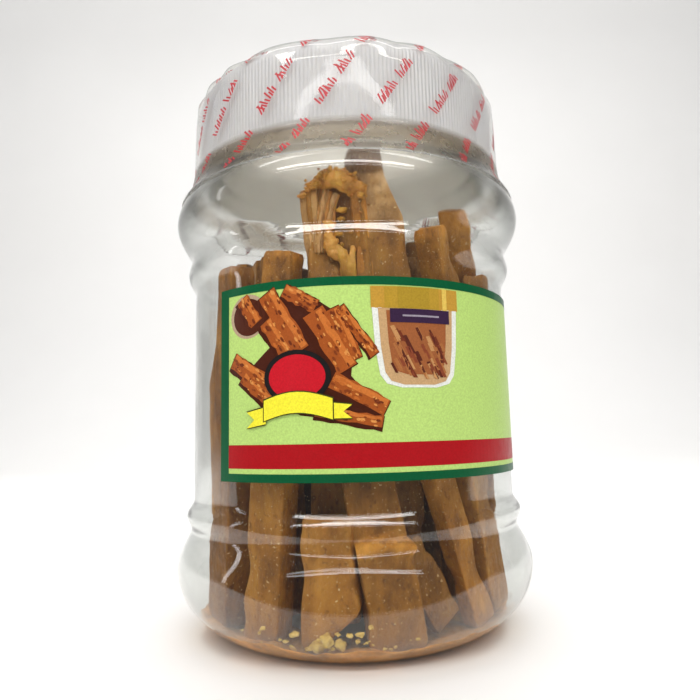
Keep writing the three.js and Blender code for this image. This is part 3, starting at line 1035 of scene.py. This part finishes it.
def leaf(pile, axes, path, back, fore, thick, seed, tone):
    """A thin upright layer on edge: its path runs across and up, and it reaches from back to fore."""
    line = smoothed(evenly(np.array(path, float), 110)[0], 24)
    x, z = line.T
    spots = join(x, seed * 3.7, z)
    rim = fore + layers(spots, ((0.45, (2, 2, 2.6)), (0.2, (0.8, 0.8, 0.9))), seed)
    wave = 0.3 * grain(spots, (3, 3, 4), seed + 2)
    thin = thick / 2 * (1 + 0.6 * grain(spots, 1.5, seed + 3))
    outline = ((-1, back), (-1, rim - 0.25), (-0.4, rim), (0.4, rim), (1, rim - 0.25), (1, back))
    rings = []
    for part, y in outline:
        flat = line + sideways(line) * (wave + part * thin)[:, None]
        rings.append(join(flat[:, 0], y, flat[:, 1]))
    rings = np.stack(rings, 1)
    pile.tube(rings, [rings[0].mean(0), rings[-1].mean(0)], axes, tone)


def ball():
    form = bmesh.new()
    bmesh.ops.create_icosphere(form, subdivisions=3, radius=1.0)
    form.verts.index_update()
    points = np.array([v.co[:] for v in form.verts])
    faces = [[v.index for v in f.verts] for f in form.faces]
    form.free()
    return points, faces


BALL, BALL_FACES = ball()


def lump(pile, centre, size, seed, draw, tone):
    """A crumb: a small uneven lump."""
    stretch = np.array([draw.uniform(0.7, 1.3), draw.uniform(0.6, 1.1), draw.uniform(0.5, 0.9)])
    rough = 0.5 * grain(BALL + seed * 1.7, 0.75, seed)
    rough = rough + layers(BALL + seed, ((0.28, 0.4), (0.12, 0.18)), seed + 1)
    pile.add(centre + BALL * stretch * (1 + rough)[:, None] * size, BALL_FACES, tone)


def bar_axes(row):
    azimuth_low, azimuth_high, inset_low, inset_high, low, high, wide_low, wide_high, depth = row
    width = (wide_low + wide_high) / 2
    foot = placed(azimuth_low, seat_radius(low, width, depth) - inset_low, low)
    top = placed(azimuth_high, seat_radius(high, width, depth) - inset_high, high)
    return Axes(foot, top)


def slanted_foot(body):
    """The short bar's foot runs up to the right."""
    near = climb(15 - body[..., 2], 0, 15)
    body[..., 2] += near * 0.72 * np.clip(body[..., 0] + 3.0, 0, None)
    return body


def tapered(side, low, reach, share):
    """A form that draws in the left (-1) or right (1) side of a bar towards its top."""

    def form(body):
        narrower = 1 - share * climb(body[..., 2], low, reach)
        body[..., 0] *= np.where(body[..., 0] * side > 0, narrower, 1)
        return body

    return form


def thinned_top(body):
    """The last bars of the back row thin towards their tops, from the outside, and end lower."""
    share = climb(body[..., 2], 58, 26)
    body[..., 1] -= share * 0.36 * (body[..., 1] - body[..., 1].min())
    body[..., 1] -= share * 2.2
    body[..., 2] -= share * 5.0
    return body


def slanted_side(body):
    """The bar on the right has lost its upper right corner."""
    across = body[..., 0]
    share = climb(body[..., 2], body[..., 2].max() - 12, 12)
    body[..., 0] -= share * 2.1 * (across / across.max() + 1)
    return body


def paler_towards_top(points):
    """Paler towards the top."""
    return (0.82 + 0.3 * climb(points[:, 2], 0, 85))[:, None]


def tapered_stain(points):
    """Pale and sugary below the tip, which is dark."""
    edge = points[:, 2] + 0.8 * grain(points, 1.6, 17)
    sugar = np.clip(0.7 + 0.5 * grain(points, (1.2, 1.2, 1.6), 18), 0.2, 1)
    pale = (climb(edge, 42, 6) * sugar)[:, None]
    dark = climb(edge, 56, 0.8)[:, None]
    shade = 0.76 + (np.array((1.5, 2.2, 9.0)) - 0.76) * pale
    return shade * (1 - dark) + np.array((0.42, 0.44, 0.9)) * dark


PALE_TIP = (1.35, 1.38, 1.65)
TIPS = {
    LEFT: ((0.85, 0.82, 0.85), 3.0),
    SECOND: (PALE_TIP, 2.5),
    CORNER_LOST: (PALE_TIP, 3.0),
    LEANING: (PALE_TIP, 7.0),
}
FORMS = {
    LEFT: tapered(-1, 60, 26, 0.42),
    SLANT_CUT: slanted_foot,
    TAPERED: tapered(1, 46, 10, 0.56),
    CORNER_LOST: slanted_side,
}
STAINS = {LEFT: paler_towards_top, SECOND: paler_towards_top, TAPERED: tapered_stain}


def heap():
    pile = Pile()
    for k, row in enumerate(FRONT_STICKS):
        axes = bar_axes(row)
        widths = row[6:8]
        tone = FRONT_TONES[k]
        if k == BROKEN:
            broken_bar(pile, axes, widths, tone)
        else:
            looks = {"tone": tone, "tip": TIPS.get(k), "form": FORMS.get(k), "stain_and_shade": STAINS.get(k)}
            bar(pile, axes, widths, row[8], 300 + k, **looks)
    for k in range(BACK_COUNT):
        azimuth = BACK_START + k * BACK_SWEEP / (BACK_COUNT - 1)
        tip = azimuth + BACK_TURN * math.cos(LEAN_BEAT * k)
        high = BACK_HIGH + BACK_STEP * math.sin(TOP_BEAT * k)
        foot = placed(azimuth, seat_radius(BACK_LOW, STICK_WIDTH) - BACK_INSET, BACK_LOW)
        top = placed(tip, seat_radius(high, STICK_WIDTH) - BACK_INSET, high)
        form = thinned_top if k >= FIRST_THINNED else None
        tone = 0.9 + 0.1 * math.sin(k)
        bar(pile, Axes(foot, top), (STICK_WIDTH, 10.0), STICK_DEPTH, 400 + k, 32, 60, tone, form=form)
    for k in range(INNER_COUNT):
        azimuth = INNER_START + 360 * k / INNER_COUNT
        tip = azimuth + INNER_TURN * math.cos(LEAN_BEAT * k)
        high = INNER_HIGH + INNER_STEP * math.sin(TOP_BEAT * k)
        axes = Axes(placed(azimuth, INNER_RADIUS, INNER_LOW), placed(tip, INNER_TOP_RADIUS, high))
        # The inner ring is darker than the bars in front as painted shade, with a tone that differs from bar
        # to bar
        tone = 0.68 - 0.16 * math.cos(k)
        bar(pile, axes, (STICK_WIDTH, 9.5), STICK_DEPTH, 500 + k, 28, 48, tone)
    core(pile)
    dust(pile)
    pile.piece("nougat_bars", NOUGAT, "nougat_sticks", "nougat")


def core(pile):
    """What fills the middle of the heap behind the bars, dark as painted shade."""
    around, rows = 80, 48
    a, z = np.meshgrid(round_angles(around)[::-1], np.linspace(CORE_LOW, CORE_HIGH, rows))
    waves = layers(polar(CORE_RADIUS, a, z), ((1.4, (7, 7, 26)), (0.5, (2, 2, 5))), 77)
    pile.tube(polar(CORE_RADIUS + waves, a, z), [(0, 0, CORE_LOW), (0, 0, CORE_HIGH)], None, CORE_PAINTED_SHADE)


def inner_floor(radius):
    """Height of the jar's inside at this radius, from the push-up out over the curve of the foot."""
    dome = FLOOR_THICKNESS + PUSH_UP_HEIGHT * (1 - (radius / STAND_INNER_RADIUS) ** 2)
    reach = np.clip((radius - FOOT_CENTRE) / (FOOT_WIDE - WALL), 0, 0.98)
    curve = LOW_BULGE[0] - (FOOT_TALL - WALL) * np.sqrt(1 - reach * reach)
    return np.where(radius < STAND_INNER_RADIUS, dome, np.maximum(curve, FLOOR_THICKNESS))


def dust(pile):
    """Fine broken nougat that has settled in the curve of the foot and sticks to its wall."""
    around, steps = 200, 18
    angle = round_angles(around)[:, None]
    edge = DUST_REACH + layers(polar(DUST_REACH, angle, 0.0), ((1.6, 9.0), (0.6, 2.2)), 93)
    share = np.linspace(0, 1, steps)
    radius = DUST_INNER + (edge - DUST_INNER) * share
    rise = 1.9 + layers(polar(radius, angle, 3.0), ((0.7, 6.0), (0.4, 1.6)), 91)
    thin = np.clip((1 - share) / 0.2, 0.04, 1)
    floor = inner_floor(radius)
    upper = join(radius, floor + np.clip(rise, 0.4, None) * thin)
    loop = np.concatenate([join(radius, floor - DUST_CLING), upper[:, ::-1]], axis=1)
    points = polar(loop[..., 0], angle, loop[..., 1]).reshape(-1, 3)
    shade = np.clip(1.05 + 0.35 * grain(points, 3.5, 95), 0.5, 1.35)
    pile.add(points, grid(around, 2 * steps, closed=True), shade[:, None] * DUST_TONE)


def ledge_height(across):
    """Where the broken bar's thicker foot ends, lower at its right corner."""
    return LEDGE_HEIGHT - 0.055 * np.clip(across, 0, None) ** 2 - 0.02 * np.clip(across, None, 0) ** 2


def hollowed(body):
    """A thicker foot with a ledge, slimmer above it, and a front that has come away near the top."""
    across, through, along = body[..., 0], body[..., 1], body[..., 2]
    above = along - ledge_height(across)
    below = climb(0.5 * grain(body, 1.3, 60) - above, 0, 0.5)
    lip = below * bell(above, -1.2, 1.5)
    wave = grain(body + 90, (3.5, 3.5, 4.5), 61)
    gone = climb(along, 78, 6) * climb(5.2 - np.abs(across), 0, 1.2)
    slim = np.interp(above, (0, 0.8, 18, 24, 40), (0, 0.14, 0.4, 0.4, 0))
    shift = np.where(across > 0, 0.7 * lip - slim * across, 0.4 * slim * across)
    shift = shift + bell(along, 82, 15) * (0.1 * across - 1.2)
    body[..., 1] += np.where(through > 0, 1.7 * below + 0.9 * lip - gone * (2.6 + 0.7 * wave), 0)
    body[..., 0] += shift
    return body


def hollow_light_and_shade(points):
    """The ledge is pale where it is crumbly, and lighter still as painted light where it faces up; the hollow
    is darkened as painted shade.
    """
    across, through, along = points.T
    above = along - ledge_height(across)
    # Pale crumbly ledge, with painted light where it faces up
    crumbly_lit_ledge = climb(-above, -0.8, 0.6) * climb(above, -3.4, 1.2) * (through > 0)
    # Painted shade in the hollow near the top
    deep = climb(along, 80, 4) * (through > -1) * (through < 1.4)
    shade = 1 + crumbly_lit_ledge[:, None] * np.array((0.75, 0.75, 0.85))
    return shade * (1 - 0.5 * deep)[:, None]


# Tones of the broken bar's inside
FOLD = (0.80, 0.72, 0.70)
AMBER = (1.0, 0.92, 0.72)
GOLD = (0.98, 0.98, 0.6)
PALE = (1.0, 1.12, 2.2)
GREY = (0.75, 0.82, 1.5)

# The crust arches over the top and comes down on the right
CRUST = [
    (-6.1, 1.4, 100.2), (-4.8, 1.9, 101.9), (-2.4, 2.2, 103.0), (0.6, 2.3, 102.8), (3.4, 2.2, 101.8),
    (5.2, 1.8, 99.4), (5.4, 1.5, 95.0),
]
CRUST_WIDE = [1.6, 2.4, 3.6, 5.0, 5.2, 4.2, 3.0]
CRUST_DEEP = [2.6, 3.4, 4.0, 4.4, 4.4, 4.0, 3.0]
SHEET = [(-1.8, 2.0, 88.4), (-0.4, 2.5, 85.4), (0.5, 2.7, 82.0), (0.3, 2.6, 78), (0.2, 2.4, 72)]
BRANCH = [(2.3, 2.0, 86.8), (1.7, 2.4, 84.4), (1.0, 2.6, 81.6)]
PATCH = [(-3.0, 1.6, 91.5), (-2.4, 2.1, 87.5), (-1.4, 2.2, 83.5)]

# Strands of the inside: path, widths, depths, seed, tone, roughness, points around and along.
# A shiny sheet runs down the hollow and is joined by a branch, and a crumbly patch lies below the layers.
STRANDS = [
    (CRUST, CRUST_WIDE, CRUST_DEEP, 12, AMBER, 0.5, 40, 120),
    (SHEET, [1.0, 2.6, 3.8, 4.2, 4.4], [1.0, 1.2, 1.3, 1.3, 1.3], 15, GOLD, 0.32, 28, 80),
    (BRANCH, [0.8, 1.5, 2.0], [1.0, 1.2, 1.2], 16, AMBER, 0.35, 20, 40),
    (PATCH, [2.2, 3.6, 2.6], [1.4, 1.8, 1.4], 17, AMBER, 0.55, 32, 60),
]

# Large crumbs in the hollow: place in the bar's own axes, and radius
HOLLOW_CRUMBS = [
    (0.7, 2.0, 95.2, 1.4), (-2.3, 1.8, 92.0, 1.3), (-0.7, 1.9, 90.0, 1.2), (-1.5, 1.8, 88.2, 1.0),
    (0.6, 1.2, 93.4, 0.8), (-3.2, 1.7, 89.6, 0.9), (-0.2, 1.6, 87.4, 0.8),
]

# What stands on both sides of the hollow: ends in the bar's own axes, widths, tone, seed
HOLLOW_SIDES = [
    ((-8.0, 0.9, 66), (-5.7, 0.9, 100.2), (5.4, 4.2), (1.1, 1.35, 3.6), 331),
    ((3.6, 0.9, 66), (4.9, 1.1, 98.0), (4.4, 3.8), (1.25, 1.2, 1.15), 332),
]


def broken_bar(pile, axes, widths, tone):
    """The bar whose upper front has come away, so that its inside shows as folds, layers and crumbs."""
    short = Axes(axes.foot, axes.foot + axes.up * BROKEN_LENGTH)
    bar(pile, short, widths, STICK_DEPTH, 303, 44, 220, tone, form=hollowed, stain_and_shade=hollow_light_and_shade)
    for low, high, wide, shade, seed in HOLLOW_SIDES:
        bar(pile, Axes(*axes.world([low, high])), wide, 4.6, seed, 32, 80, shade)

    inside = Pile()
    draw = random.Random(71)

    def crumb(spot, size, seed, shade):
        lump(inside, axes.world(spot), size, seed, draw, shade)

    # thin layers on edge, close together under the crust
    for k in range(9):
        at = -4.6 + 0.62 * k
        path = [(at - 2.8, 86), (at - 2.0, 91), (at - 0.9, 96), (at + 0.4, 101.8 - 0.3 * k)]
        fore = 2.4 - 0.1 * k + 0.15 * (k % 2)
        leaf(inside, axes, path, -1.2, fore, 0.8, 30 + k, (PALE, GREY, FOLD)[k % 3])
    for strand in STRANDS:
        rope(inside, axes, *strand)
    for k, (*spot, size) in enumerate(HOLLOW_CRUMBS):
        crumb(spot, size, 780 + k, (GOLD, AMBER)[k % 2])
    # small crumbs along the crust
    for k in range(70):
        step = draw.uniform(0, len(CRUST) - 1.01)
        spot = np.array(CRUST[int(step)]) * (1 - step % 1) + np.array(CRUST[int(step) + 1]) * (step % 1)
        turn = draw.uniform(0, math.pi)
        spot = spot + (1.9 * math.cos(turn), 1.4 + 0.7 * math.sin(turn), draw.uniform(-1.6, 2.0))
        size = draw.choice((0.25, 0.35, 0.35, 0.5, 0.75))
        crumb(spot, size, 800 + k, draw.choice((FOLD, AMBER, AMBER, GOLD)))
    # small crumbs in the hollow
    for k in range(18):
        spot = (draw.uniform(-4.5, 3.0), draw.uniform(1.0, 2.4), draw.uniform(77, 97))
        size = draw.choice((0.25, 0.4, 0.6))
        crumb(spot, size, 900 + k, draw.choice((FOLD, AMBER, GOLD)))
    inside.piece("broken_layers", flakes(), None, "nougat")


def crumbs():
    """Loose crumbs at the foot of the wall: the large ones that show, and a scatter of small ones."""
    pile = Pile()
    draw = random.Random(5)

    def at_wall(azimuth, level, size, gap, seed):
        reach = float(wall_radius(level, WALL)) - gap - size
        lump(pile, placed(azimuth, reach, level), size, seed, draw, (1.0, 1.0, 1.0))

    for k, (azimuth, level, size) in enumerate(CRUMBS):
        at_wall(azimuth, level, size, 1.0, k)
    for k in range(34):
        azimuth = draw.gauss(-6, 16)
        level = draw.uniform(3.0, 8.0)
        at_wall(azimuth, level, draw.choice((0.22, 0.3, 0.4)), 0.9, 40 + k)
    pile.piece("crumbs", crumb_material(), None, "nougat")


jar()
lid()
seal()
seal_marks()
label()
heap()
crumbs()


# Floor, light and camera

FLOOR_SPLIT = -0.06
FLOOR_HALF = 3.0
CURVE_START = 0.7
CURVE_RADIUS = 0.5
MIDDLE = (0, 0, 0.07)


def stage():
    """A pale floor that curves up into a backdrop."""
    m = Nodes("floor_tone")
    m.set(Base_Color=m.ramp(m.noise(3), [(0.3, (0.89, 0.88, 0.865)), (0.7, (0.92, 0.91, 0.895))]))
    m.set(Roughness=0.7)
    curve = [
        (CURVE_START + CURVE_RADIUS * math.sin(a), CURVE_RADIUS - CURVE_RADIUS * math.cos(a))
        for a in np.linspace(0.1, math.pi / 2, 12)
    ]
    back = [(FLOOR_SPLIT, 0.0), (CURVE_START, 0.0), *curve, (CURVE_START + CURVE_RADIUS, FLOOR_HALF)]
    ground("floor_front", [(-FLOOR_HALF, 0.0), (FLOOR_SPLIT, 0.0)], m.material, False)
    ground("floor_back", back, m.material, True)


def ground(name, line, material, mirrored):
    """A wide strip of floor along a line; the one in front doesn't show in the gloss of the jar."""
    verts = [(x, y, z) for y, z in line for x in (-FLOOR_HALF, FLOOR_HALF)]
    faces = [(2 * k, 2 * k + 1, 2 * k + 3, 2 * k + 2) for k in range(len(line) - 1)]
    floor = new_object(name, verts, faces, material)
    floor.visible_glossy = mirrored
    floor.visible_transmission = mirrored


def lamp(name, place, aim, wide, tall, power, colour=(1, 1, 1), shows=False):
    """An area lamp, which shows in the gloss of the jar only if asked."""
    data = bpy.data.lights.new(name, "AREA")
    data.shape = "RECTANGLE"
    data.size = wide
    data.size_y = tall
    data.energy = power
    data.color = colour
    thing = bpy.data.objects.new(name, data)
    thing.location = place
    thing.visible_glossy = shows
    thing.visible_transmission = shows
    thing.rotation_euler = (Vector(aim) - Vector(place)).to_track_quat("-Z", "Y").to_euler()
    bpy.context.scene.collection.objects.link(thing)


stage()
lamp("key", (0.0, -0.715, 0.90), MIDDLE, 1.50, 0.15, 7.0, (1.0, 0.98, 0.95), shows=True)
lamp("side", (-1.0, -0.12, 0.30), MIDDLE, 0.06, 0.5, 0.35, shows=True)
lamp("strip", (0.0, -0.92, 0.76), MIDDLE, 1.8, 0.045, 1.8, shows=True)
lamp("left", (-0.8, -0.7, 0.45), MIDDLE, 0.9, 0.9, 2.9)
lamp("right", (0.8, -0.6, 0.45), MIDDLE, 0.9, 0.9, 2.1)
lamp("crown", (0.0, -0.21, 1.30), (0, 0, 0.1), 1.8, 0.14, 3.6, shows=True)
lamp("top", (0.0, 0.25, 1.2), (0, 0, 0), 0.8, 0.8, 7.0)
lamp("sweep", (0.0, 0.35, 1.5), (0, 1.1, 0.4), 2.4, 0.3, 8.0)

world = bpy.data.worlds.new("studio")
world.use_nodes = True
background = world.node_tree.nodes["Background"]
background.inputs["Color"].default_value = (0.95, 0.97, 1.0, 1.0)
background.inputs["Strength"].default_value = 0.16
bpy.context.scene.world = world
bpy.context.scene.view_settings.view_transform = "Standard"

CAMERA_PLACE = (0.0, -0.1714, 0.0490)
CAMERA_TILT = 7.55
CAMERA_ROLL = -1.36
camera_data = bpy.data.cameras.new("camera")
camera_data.lens = 31.66
camera_data.sensor_width = 36.0
camera_data.clip_start = 0.01
camera = bpy.data.objects.new("camera", camera_data)
camera.matrix_world = (
    Matrix.Translation(CAMERA_PLACE)
    @ Matrix.Rotation(math.radians(90 + CAMERA_TILT), 4, "X")
    @ Matrix.Rotation(math.radians(CAMERA_ROLL), 4, "Z")
)
bpy.context.scene.collection.objects.link(camera)
bpy.context.scene.camera = camera
